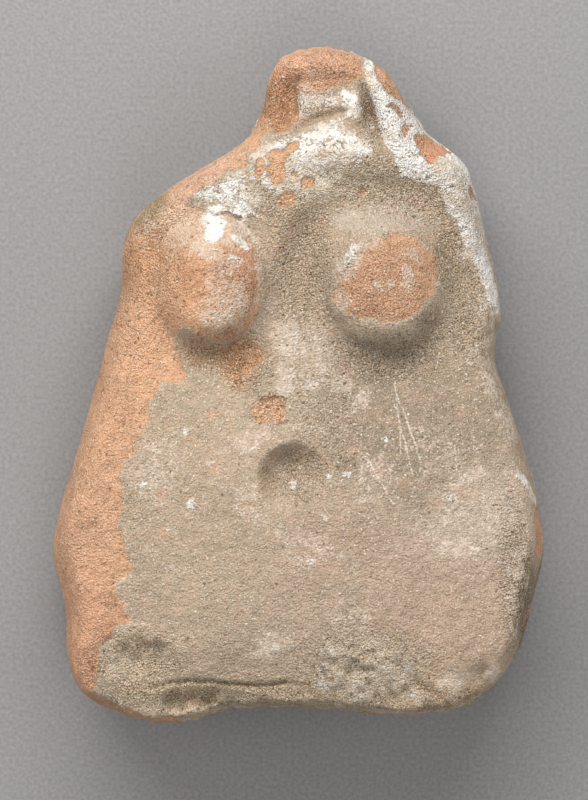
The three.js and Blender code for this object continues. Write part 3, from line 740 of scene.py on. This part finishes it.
def lumps(points, width, seed):
    """Value noise between -1 and 1: random values on the corners of cubes of the given width, blended inside
    each cube along each axis by 3t^2 - 2t^3."""
    values = np.random.default_rng(seed).uniform(-1, 1, (CORNERS,) * 3)
    cube = np.floor(points / width).astype(int)
    t = points / width - cube
    t = t * t * (3 - 2 * t)
    total = 0
    for corner in np.ndindex(2, 2, 2):
        share = np.where(np.array(corner), t, 1 - t).prod(-1)
        i, j, k = np.moveaxis((cube + corner) % CORNERS, -1, 0)
        total = total + share * values[i, j, k]
    return total


def layers(*sizes):
    """Layers of lumps over the whole piece added up: the height, width and seed of each."""
    return sum(height * lumps(clay, width, seed) for height, width, seed in sizes)


def strongest(x, y, spots):
    """The largest strength that any of the ovals has at each point."""
    return np.max([strength * oval(x, y, at, half, *turn) for at, half, strength, *turn in spots], 0)


def shaded(x, y, ground, shades):
    """The ground colour with each shade laid over it in turn."""
    colour = np.broadcast_to(ground, (*x.shape, 3))
    for over, at, half, strength, *turn in shades:
        colour = blend(colour, seen(*over), strength * oval(x, y, at, half, *turn)[..., None])
    return colour


# down the sides the patches sway about, so that none of them runs straight down from the front
SWAY = 9
SWAY_WIDTH = 6
SWAY_STEP = (0.55, 0.15)  # from and to this share of the rise from rim to front
# on the back slip and clay are mixed by chance, the further in from the rim the more
BACK_STEP = (2, 12)
BACK_PATCHES = ((5, 13, 5), (2, 5, 6))  # height, width and seed of each layer of lumps
BACK_BARE = 1.2
BACK_DIRT = 0.25
BACK_DIRT_PATCHES = (0.2, 8, 7)
BACK_GRIT = 0.3
FAR = 5  # so far from an edge, in millimetres, nothing of it shows

sway = SWAY * np.where(on_front, smooth(*SWAY_STEP, front_rise), 1)
px = x + sway * lumps(clay, SWAY_WIDTH, 15)
py = y + sway * lumps(clay, SWAY_WIDTH, 16)
unseen = np.where(on_front, 0, smooth(*BACK_STEP, in_from_edge))
chipped = np.max([inside_distance(px, py, corners) for corners in CHIPPED], 0)
bare = np.maximum(np.max([inside_distance(px, py, corners) for corners in BARE], 0), chipped)
bare = blend(bare, layers(*BACK_PATCHES) + BACK_BARE, unseen)
white = [amount * smooth(-soft, soft, inside_distance(px, py, line)) for line, amount, soft in WHITE_FIELDS]
white = np.maximum(np.max(white, 0), strongest(px, py, WHITE_SPOTS)) * (1 - unseen)
bloom_and_edge_highlight = strongest(px, py, BLOOM_AND_EDGE_HIGHLIGHT) * (1 - unseen)
dirt_and_shade = blend(strongest(px, py, DIRT_AND_SHADE), BACK_DIRT + layers(BACK_DIRT_PATCHES), unseen)
grit = blend(strongest(px, py, GRIT), BACK_GRIT, unseen)
crack_and_step_shadow = np.min([distance_to_line(x, y, line, closed=False) for line in CRACKS_AND_STEP_SHADOW], 0) + FAR * unseen
slip_colour = blend(shaded(px, py, SLIP, SLIP_SHADES), SLIP, unseen[..., None])
fired_colour = blend(shaded(px, py, FIRED, FIRED_SHADES), FIRED, unseen[..., None])

# Relief over the smooth form, in millimetres along its normals: the waves left by fingers, the rough skin,
# the thickness of slip and paint, and the chips and cracks of the front. Each layer of lumps has its height,
# its width and a seed.
FINGER_WAVES = ((0.28, 11, 1), (0.12, 4, 2))
SKIN = 0.07
SKIN_GRAIN = ((1, 1.7, 3), (0.8, 0.9, 4))
# how much of that grain the slip has, and how much bare clay, the places of dirt and painted shade, and grit
# add to it
SLIP_GRAIN = 0.55
BARE_GRAIN = 0.45
DIRT_AND_SHADE_GRAIN = 0.9
GRIT_GRAIN = 0.5
COAT_EDGE = 0.3
SLIP_THICKNESS = 0.3
PAINT_THICKNESS = 0.18
PAINT_RISE = 1.6  # how fast the paint gets to its full thickness
PAINT_START = 0.5
PAINT_WEAR = (0.5, 1.2, 8)
# the chip at the lower right corner, deepest at its upper edge, and the ledge that the break left
CHIP_DEPTH = 0.4
CHIP_STEP = (-55, -48)
CHIP_GRAIN = ((0.5, 1.5, 9), (0.4, 3, 13))
CHIP = (
    (-37, -49), (-36.4, -47.1), (-33.1, -45), (-31.8, -46.2), (-27.2, -46.4), (-23.5, -47.5), (-22.6, -50),
    (-24.5, -52.3), (-27, -54.4), (-31, -55.4), (-36, -54.4),
)
LEDGE_DEPTH = 0.25
LEDGE_GRAIN = ((0.5, 1.8, 10), (0.3, 1.1, 14))
LEDGE = ((-10, -56.6), (-10, -63), (-28, -63), (-27, -58), (-24, -56.4))
# the lines pressed in round the collar and beside the band over the left shoulder, and the top of the neck
# that stands up behind the collar
COLLAR_LINE = ((-0.4, 46.6), (1.4, 48.2), (4, 49.2), (7, 49.9), (9, 50.3))
BAND_LINE = ((12, 54.4), (12.6, 53), (12.9, 51), (13, 49), (13.6, 47))
NECK_LINE = ((0, 47), (-0.2, 50), (-0.4, 53), (0, 56))
NECK_TOP = ((0, 48), (0, 55), (9, 56), (9, 50.6), (4, 49.6))
NECK_TOP_HEIGHT = 0.4
# both breaks: from and to which y their faces get rough
NECK_BREAK_STEP = (56, 60)
LOWER_BREAK_STEP = (-54.5, -59)
BREAK_GRAIN = ((0.35, 3, 17), (0.25, 1.4, 18))
MIDDLE_RELIEF = 0.2
# flaky places: place, half-lengths, strength and turn, with the colours of the flakes and of their gaps
FLAKY = (
    ((28, 38.6), (5, 4), 0.8), ((9, 36.6), (7, 2.2), 0.5, 8), ((34.6, 20), (2.4, 12), 0.6, 12),
    ((33, -53.6), (4, 2.4), 0.7, 30), ((-17, -57.8), (9, 2.2), 0.5), ((-30, -51), (8, 5), 0.4),
    ((41, -38), (2.2, 12), 0.6, 6), ((-4, -47.6), (4, 2.4), 0.5), ((0, -16), (5, 4), 0.3),
)
FLAKES = ((0.5, 2.6, 11), (0.4, 1.3, 12))
FLAKE_TOP = seen(246, 228, 202)
FLAKE_TOP_DENSITY = 0.75
FLAKE_GAP = seen(146, 122, 92)
FLAKE_GAP_DENSITY = 0.65
# the crusted patch over the lower break
CRUSTED = (
    (2.6, -60), (2.4, -52), (4, -47.4), (8, -46.4), (14, -47.6), (20, -49.6), (24, -52.6), (33, -54),
    (34, -60),
)


def groove(x, y, line, half, depth):
    """A V-shaped groove with rounded edges along a line, running out at both ends."""
    return -depth * (1 - smooth(0, half, distance_to_line(x, y, line, closed=False)))


coat = smooth(COAT_EDGE, -COAT_EDGE, bare)
clay_grain = SLIP_GRAIN + BARE_GRAIN * smooth(-COAT_EDGE, COAT_EDGE, bare)
rough = np.clip(clay_grain + DIRT_AND_SHADE_GRAIN * dirt_and_shade + GRIT_GRAIN * grit, 0, 2)
chip = inside_distance(x, y, CHIP)
ledge = inside_distance(x, y, LEDGE)
crusted = smooth(-1, 3, inside_distance(x, y, CRUSTED))
flakes = layers(*FLAKES)
flaky = np.maximum(crusted, strongest(x, y, FLAKY))
on_flakes = FLAKE_TOP_DENSITY * flaky * smooth(0.08, 0.4, flakes)
in_gaps = FLAKE_GAP_DENSITY * flaky * smooth(-0.1, -0.4, flakes)
slip_colour = blend(slip_colour, FLAKE_TOP, on_flakes[..., None])
slip_colour = blend(slip_colour, FLAKE_GAP, in_gaps[..., None])
relief = (
    layers(*FINGER_WAVES)
    + SKIN * rough * layers(*SKIN_GRAIN)
    + SLIP_THICKNESS * coat
    + PAINT_THICKNESS * np.clip(white * PAINT_RISE - PAINT_START + layers(PAINT_WEAR), 0, 1)
)
front_relief = (
    -CHIP_DEPTH * smooth(-0.2, 1.4, chip) * smooth(*CHIP_STEP, y)
    + smooth(-0.5, 1, chip) * layers(*CHIP_GRAIN)
    + groove(x, y, LONG_CRACK, 0.7, 0.6)
    - LEDGE_DEPTH * smooth(0, 0.8, ledge)
    + smooth(0, 1, ledge) * layers(*LEDGE_GRAIN)
    + np.maximum(crusted, 0.5 * flaky) * flakes
    + groove(x, y, COLLAR_LINE, 1.2, 0.6)
    + groove(x, y, BAND_LINE, 1.4, 0.5)
    + groove(x, y, NECK_LINE, 0.7, 0.4)
    + NECK_TOP_HEIGHT * smooth(-0.4, 0.4, inside_distance(x, y, NECK_TOP))
)
# the faces of the two breaks are rougher than the skin
broken = smooth(*NECK_BREAK_STEP, y) + smooth(*LOWER_BREAK_STEP, y)
relief = relief + np.where(on_front, front_relief, 0) + broken * layers(*BREAK_GRAIN)
# even out the relief's middle, so that the skin stays where the smooth form is
relief = relief - MIDDLE_RELIEF
clay = clay + normal * relief[..., None]


def to_frame(points):
    """Moves the drawing's millimetres to the frame's metres, with the middle of the smooth form's box over
    the origin and the lowest point on the floor."""
    return (points - (box_centre[0], box_centre[1], points[..., 2].min())) * MM


def sewn_mesh(name, points):
    """A closed mesh of the ring grid: four-sided faces between neighbouring rings and steps, with the two
    halves of the first and last ring sewn together along their spines."""
    rows, count = points.shape[:2]
    index = np.arange(rows * count).reshape(rows, count)
    index[0] = np.minimum(steps, mirror)
    index[-1] = index[-1][np.minimum(steps, mirror)]
    used = np.unique(index)
    index = np.searchsorted(used, index)
    following = np.roll(index, -1, 1)
    faces = np.stack((index[:-1], index[1:], following[1:], following[:-1]), -1).reshape(-1, 4)
    mesh = bpy.data.meshes.new(name)
    mesh.vertices.add(len(used))
    mesh.vertices.foreach_set("co", points.reshape(-1, 3)[used].astype(np.float32).ravel())
    mesh.loops.add(faces.size)
    mesh.loops.foreach_set("vertex_index", faces.ravel().astype(np.int32))
    mesh.polygons.add(len(faces))
    mesh.polygons.foreach_set("loop_start", np.arange(0, faces.size, 4, dtype=np.int32))
    mesh.polygons.foreach_set("use_smooth", np.ones(len(faces), bool))
    mesh.update(calc_edges=True)
    mesh.validate()
    return mesh, used


torso_mesh, used = sewn_mesh("torso_clay", to_frame(clay))
torso = bpy.data.objects.new("torso_clay", torso_mesh)
bpy.context.scene.collection.objects.link(torso)

seen_side = 1 - unseen
for name, values in (
    ("bare", bare), ("chipped", np.where(on_front, chipped, -FAR)), ("white", white), ("bloom_and_edge_highlight", bloom_and_edge_highlight),
    ("dirt_and_shade", dirt_and_shade), ("grit", grit), ("crack_and_step_shadow", crack_and_step_shadow), ("seen_side", seen_side),
):
    layer = torso_mesh.attributes.new(name, "FLOAT", "POINT")
    layer.data.foreach_set("value", values.reshape(-1)[used].astype(np.float32))
for name, values in (("slip", slip_colour), ("fired", fired_colour)):
    layer = torso_mesh.attributes.new(name, "FLOAT_COLOR", "POINT")
    opaque = np.concatenate((values, np.ones((*values.shape[:2], 1))), -1)
    layer.data.foreach_set("color", opaque.reshape(-1, 4)[used].astype(np.float32).ravel())

terracotta = bpy.data.materials.new("terracotta")
terracotta.use_nodes = True
terracotta_shader = terracotta.node_tree.nodes["Principled BSDF"]
MATT = 0.92
GLINT = 0.2


def clay_node(kind, inputs, output=0, **settings):
    """A node of the clay's own material."""
    return node(terracotta.node_tree, kind, inputs, output, **settings)


def calc(operation, *values):
    """One step of reckoning on numbers or other nodes' outputs."""
    return clay_node("Math", dict(enumerate(values)), operation=operation)


def step(value, start, end):
    """0 before start and 1 after end, with the curve 3t^2 - 2t^3 between them."""
    ends = {"Value": value, "From Min": start, "From Max": end}
    return clay_node("MapRange", ends, interpolation_type="SMOOTHSTEP")


def mix(a, b, share):
    """Colour a where share is 0, colour b where it is 1."""
    return clay_node("Mix", {"Factor": share, "A": a, "B": b}, "Result", data_type="RGBA")


def laid(ground, coat, share, strength):
    """The ground colour under a coat that is as dense as the share times the strength."""
    return mix(ground, coat, calc("MULTIPLY", share, strength))


def tinted(colour, value):
    """The colour made lighter or darker by the value."""
    return clay_node("VectorMath", {0: colour, "Scale": value}, operation="SCALE")


def sanded(colour, value):
    """The colour with a near-grey step of this size added, so that fine grain changes its light and not its
    hue."""
    return clay_node("VectorMath", {0: GREY_STEP, 1: value, 2: colour}, operation="MULTIPLY_ADD")


place = clay_node("TexCoord", {}, "Object")


def grain(width, detail, roughness=0.5):
    """Noise between 0 and 1 whose lumps are about this many millimetres wide."""
    settings = {"Vector": place, "Scale": 1 / (width * MM), "Detail": detail, "Roughness": roughness}
    return clay_node("TexNoise", settings)


def wander(noise, amount):
    """The noise about its middle, times the amount."""
    return calc("MULTIPLY", calc("SUBTRACT", noise, 0.5), amount)


def total(*values):
    """The values added up."""
    result = values[0]
    for value in values[1:]:
        result = calc("ADD", result, value)
    return result


def attribute(name, output="Fac"):
    """What the mesh holds under this name."""
    return clay_node("Attribute", {}, output, attribute_name=name)


def frayed(name, middle, fine):
    """What the mesh holds under this name, with middle and fine grain fraying its edges."""
    return total(attribute(name), wander(middle_grain, middle), wander(fine_grain, fine))


def worn(name, patches, middle, fine):
    """A share from 0 to 1 spread from -1 to 1 and broken up by grain of three sizes."""
    spread = calc("MULTIPLY_ADD", attribute(name), 2, -1)
    return total(spread, wander(patchy, patches), wander(middle_grain, middle), wander(fine_grain, fine))


wide = grain(8, 2)
patchy = grain(3.4, 4, 0.6)
middle_grain = grain(1.5, 4, 0.6)
fine_grain = grain(0.55, 3, 0.65)
tiny_grain = grain(0.22, 2, 0.6)
pits = grain(0.7, 2)
specks = grain(0.42, 1)
# the relief of the skin: two sizes of lumps, without the finest steps, which would only blur the light
middle_lumps = grain(1.6, 1)
fine_lumps = grain(0.38, 1)
# loose grains: cells of this width, their sides bent by a noise, each of a kind of its own
CELL_WIDTH = 0.62
STIR_WIDTH = 0.7
STIR_WAY = 0.6
stir = clay_node("TexNoise", {"Vector": place, "Scale": 1 / (STIR_WIDTH * MM), "Detail": 1.0}, "Color")
stirred = clay_node("VectorMath", {0: stir, 1: (MM * STIR_WAY,) * 3, 2: place}, operation="MULTIPLY_ADD")
cells = clay_node("TexVoronoi", {"Vector": stirred, "Scale": 1 / (CELL_WIDTH * MM)}, "Distance")
cell_kind = clay_node("TexVoronoi", {"Vector": stirred, "Scale": 1 / (CELL_WIDTH * MM)}, "Color")
cell_red = clay_node("SeparateColor", {"Color": cell_kind}, "Red")
cell_green = clay_node("SeparateColor", {"Color": cell_kind}, "Green")
# the surface is coarser where grains stick to it
grit_here = attribute("grit")
coarseness = calc("MULTIPLY_ADD", grit_here, 1.5, 0.72)

# where bare clay, the worn edge of the slip, fresh chips, white paint, and bloom with the painted highlight
# along the break's edge show, each with ragged edges
ragged = frayed("bare", 2.6, 1)
bare_here = step(ragged, -0.08, 0.08)
edge_here = calc("MULTIPLY", step(ragged, -0.45, -0.12), step(ragged, 0.12, -0.02))
chipped_here = step(frayed("chipped", 2, 1), -0.08, 0.08)
flaking = worn("white", 1.7, 1.9, 2.6)
white_here = calc("MULTIPLY", step(flaking, -0.3, 0.25), calc("SUBTRACT", 1.0, chipped_here))
film_and_edge_highlight = worn("bloom_and_edge_highlight", 1.6, 1.6, 2.6)
film_and_highlight_here = calc("MULTIPLY", step(film_and_edge_highlight, -0.5, 0.7), calc("SUBTRACT", 0.9, chipped_here))
# fine crooked threads of the same bloom, along the middle values of a noise
thread_noise = calc("ABSOLUTE", wander(grain(2.6, 3, 0.6), 1))
thread = calc("MULTIPLY", step(thread_noise, 0.02, 0.006), step(film_and_edge_highlight, -1.0, 0.2))

GREY_STEP = (0.5, 0.42, 0.35)
WHITE = (*seen(246, 243, 238), 1)
CREAM = (*seen(224, 208, 190), 1)
FILM_AND_HIGHLIGHT = (*seen(218, 199, 181), 1)
PINK = (*seen(206, 172, 148), 1)
OLIVE = (*seen(166, 150, 122), 1)
EDGE = (*seen(222, 198, 172), 1)
DIRT_AND_SHADE_BROWN = (*seen(126, 96, 62), 1)
LIGHT_GRAIN = (*seen(240, 204, 164), 1)
PALE_GRAIN = (*seen(250, 236, 214), 1)
THREAD = (*seen(240, 226, 210), 1)
DARK_GRAIN_AND_PIT_SHADE = (*seen(134, 100, 68), 1)

# Coat over coat from the clay outwards. The number with each grain is how far it moves the light, those of
# each step are the values between which a noise comes to show, and the last in laid is the coat's density.
sand = calc("MULTIPLY", total(wander(fine_grain, 0.25), wander(tiny_grain, 1.2)), coarseness)
clay_value = total(1.06, wander(wide, 0.4), wander(patchy, 0.5), wander(middle_grain, 0.7))
clay_colour = sanded(tinted(attribute("fired", "Color"), clay_value), sand)
# dark grain colour laid where the pits sink the skin: painted shade in the pits, with the clay's dark specks
clay_colour = laid(clay_colour, DARK_GRAIN_AND_PIT_SHADE, step(pits, 0.34, 0.27), 0.4)
slip_value = total(1.0, wander(wide, 0.3), wander(middle_grain, 0.5))
slip_base = laid(attribute("slip", "Color"), PINK, step(patchy, 0.52, 0.66), 0.4)
slip_base = laid(slip_base, OLIVE, step(patchy, 0.46, 0.34), 0.16)
slip_here = sanded(tinted(slip_base, slip_value), sand)
# the same painted shade in the slip's pits, with its dark specks
slip_here = laid(slip_here, DARK_GRAIN_AND_PIT_SHADE, step(pits, 0.3, 0.24), 0.24)
slip_here = laid(slip_here, WHITE, step(specks, 0.65, 0.71), 0.6)
surface = mix(slip_here, clay_colour, bare_here)
surface = laid(surface, EDGE, edge_here, 0.55)
surface = mix(surface, FILM_AND_HIGHLIGHT, film_and_highlight_here)
surface = laid(surface, THREAD, thread, 0.8)
white_value = total(1.0, wander(middle_grain, 0.3))
creamy = total(wander(wide, 1.5), wander(patchy, 1.4), wander(fine_grain, 1.6))
white_coat = mix(WHITE, CREAM, step(creamy, -0.15, 0.3))
surface = mix(surface, sanded(tinted(white_coat, white_value), sand), white_here)
# brown laid over dirt, and over the painted shade in hollows, under the breasts and in the navel
surface = laid(surface, DIRT_AND_SHADE_BROWN, step(frayed("dirt_and_shade", 1, 1.4), 0.2, 1.0), 0.75)
# dark along the cracks, which along the long crack is also painted shadow under its step
cracked_and_step_shadowed = step(frayed("crack_and_step_shadow", 1, 1), 0.5, 0.1)
surface = laid(surface, DIRT_AND_SHADE_BROWN, cracked_and_step_shadowed, 0.55)
grain_share = calc("MULTIPLY_ADD", grit_here, 0.56, 0.05)
grain_there = calc("MULTIPLY", step(cells, 0.42, 0.3), calc("LESS_THAN", cell_red, grain_share))
grain_colour = mix(DARK_GRAIN_AND_PIT_SHADE, LIGHT_GRAIN, step(cell_green, 0.18, 0.24))
grain_colour = mix(grain_colour, PALE_GRAIN, step(cell_green, 0.6, 0.64))
surface = laid(surface, grain_colour, grain_there, 0.75)

# one straight piece of a scratch: 1 on the line between two places and 0 from its half-width outwards
streak = bpy.data.node_groups.new("streak", "ShaderNodeTree")
for name, kind in (("Place", "Vector"), ("Start", "Vector"), ("End", "Vector"), ("Half", "Float")):
    streak.interface.new_socket(name, in_out="INPUT", socket_type="NodeSocket" + kind)
streak.interface.new_socket("Share", in_out="OUTPUT", socket_type="NodeSocketFloat")
streak_in = streak.nodes.new("NodeGroupInput").outputs
streak_out = streak.nodes.new("NodeGroupOutput").inputs
from_start = node(streak, "VectorMath", {0: streak_in["Place"], 1: streak_in["Start"]}, operation="SUBTRACT")
flat = node(streak, "VectorMath", {0: from_start, 1: (1, 1, 0)}, operation="MULTIPLY")
whole = node(streak, "VectorMath", {0: streak_in["End"], 1: streak_in["Start"]}, operation="SUBTRACT")
along = node(streak, "VectorMath", {0: flat, 1: whole}, "Value", operation="DOT_PRODUCT")
square = node(streak, "VectorMath", {0: whole, 1: whole}, "Value", operation="DOT_PRODUCT")
share = node(streak, "Math", {0: along, 1: square}, operation="DIVIDE", use_clamp=True)
foot = node(streak, "VectorMath", {0: whole, "Scale": share}, operation="SCALE")
away = node(streak, "VectorMath", {0: flat, 1: foot}, "Value", operation="DISTANCE")
near = node(streak, "Math", {0: away, 1: streak_in["Half"]}, operation="DIVIDE")
rest = node(streak, "Math", {0: 1.0, 1: near}, operation="SUBTRACT", use_clamp=True)
streak.links.new(rest, streak_out["Share"])


def scratch(line, half):
    """A scratch through the line's points: the strongest of its straight pieces."""
    strength = 0.0
    for start, end in zip(line[:-1], line[1:]):
        ends = {
            "Place": place,
            "Start": (*((np.array(start) - box_centre[:2]) * MM), 0),
            "End": (*((np.array(end) - box_centre[:2]) * MM), 0),
            "Half": half * MM,
        }
        strength = calc("MAXIMUM", strength, clay_node("Group", ends, node_tree=streak))
    return strength


SCRATCH_HALF = 0.22
scratched = 0.0
for line in SCRATCHES:
    scratched = calc("MAXIMUM", scratched, scratch(line, SCRATCH_HALF))
scratch_wear = calc("MULTIPLY", step(fine_grain, 0.34, 0.56), attribute("seen_side"))
scratched = calc("MULTIPLY", scratched, scratch_wear)
surface = mix(surface, THREAD, scratched)

# the finest relief, in millimetres: lumps, pits, grains, scratches, cracks, paint and worn clay
skin = total(
    calc("MULTIPLY", wander(fine_lumps, 0.52), coarseness),
    wander(middle_lumps, calc("MULTIPLY_ADD", white_here, 0.5, 0.45)),
    calc("MULTIPLY", step(pits, 0.36, 0.28), -0.14),
    calc("MULTIPLY", grain_there, 0.3),
    calc("MULTIPLY", scratched, -0.06),
    calc("MULTIPLY", cracked_and_step_shadowed, -0.2),
    calc("MULTIPLY", white_here, 0.08),
    calc("MULTIPLY", bare_here, -0.22),
)
bump = clay_node("Bump", {"Height": skin, "Distance": MM, "Strength": 1.0}, "Normal")
terracotta.node_tree.links.new(surface, terracotta_shader.inputs["Base Color"])
terracotta.node_tree.links.new(bump, terracotta_shader.inputs["Normal"])
terracotta_shader.inputs["Roughness"].default_value = MATT
terracotta_shader.inputs["Specular IOR Level"].default_value = GLINT
torso_mesh.materials.append(terracotta)

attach(torso, "root")
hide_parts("torso")
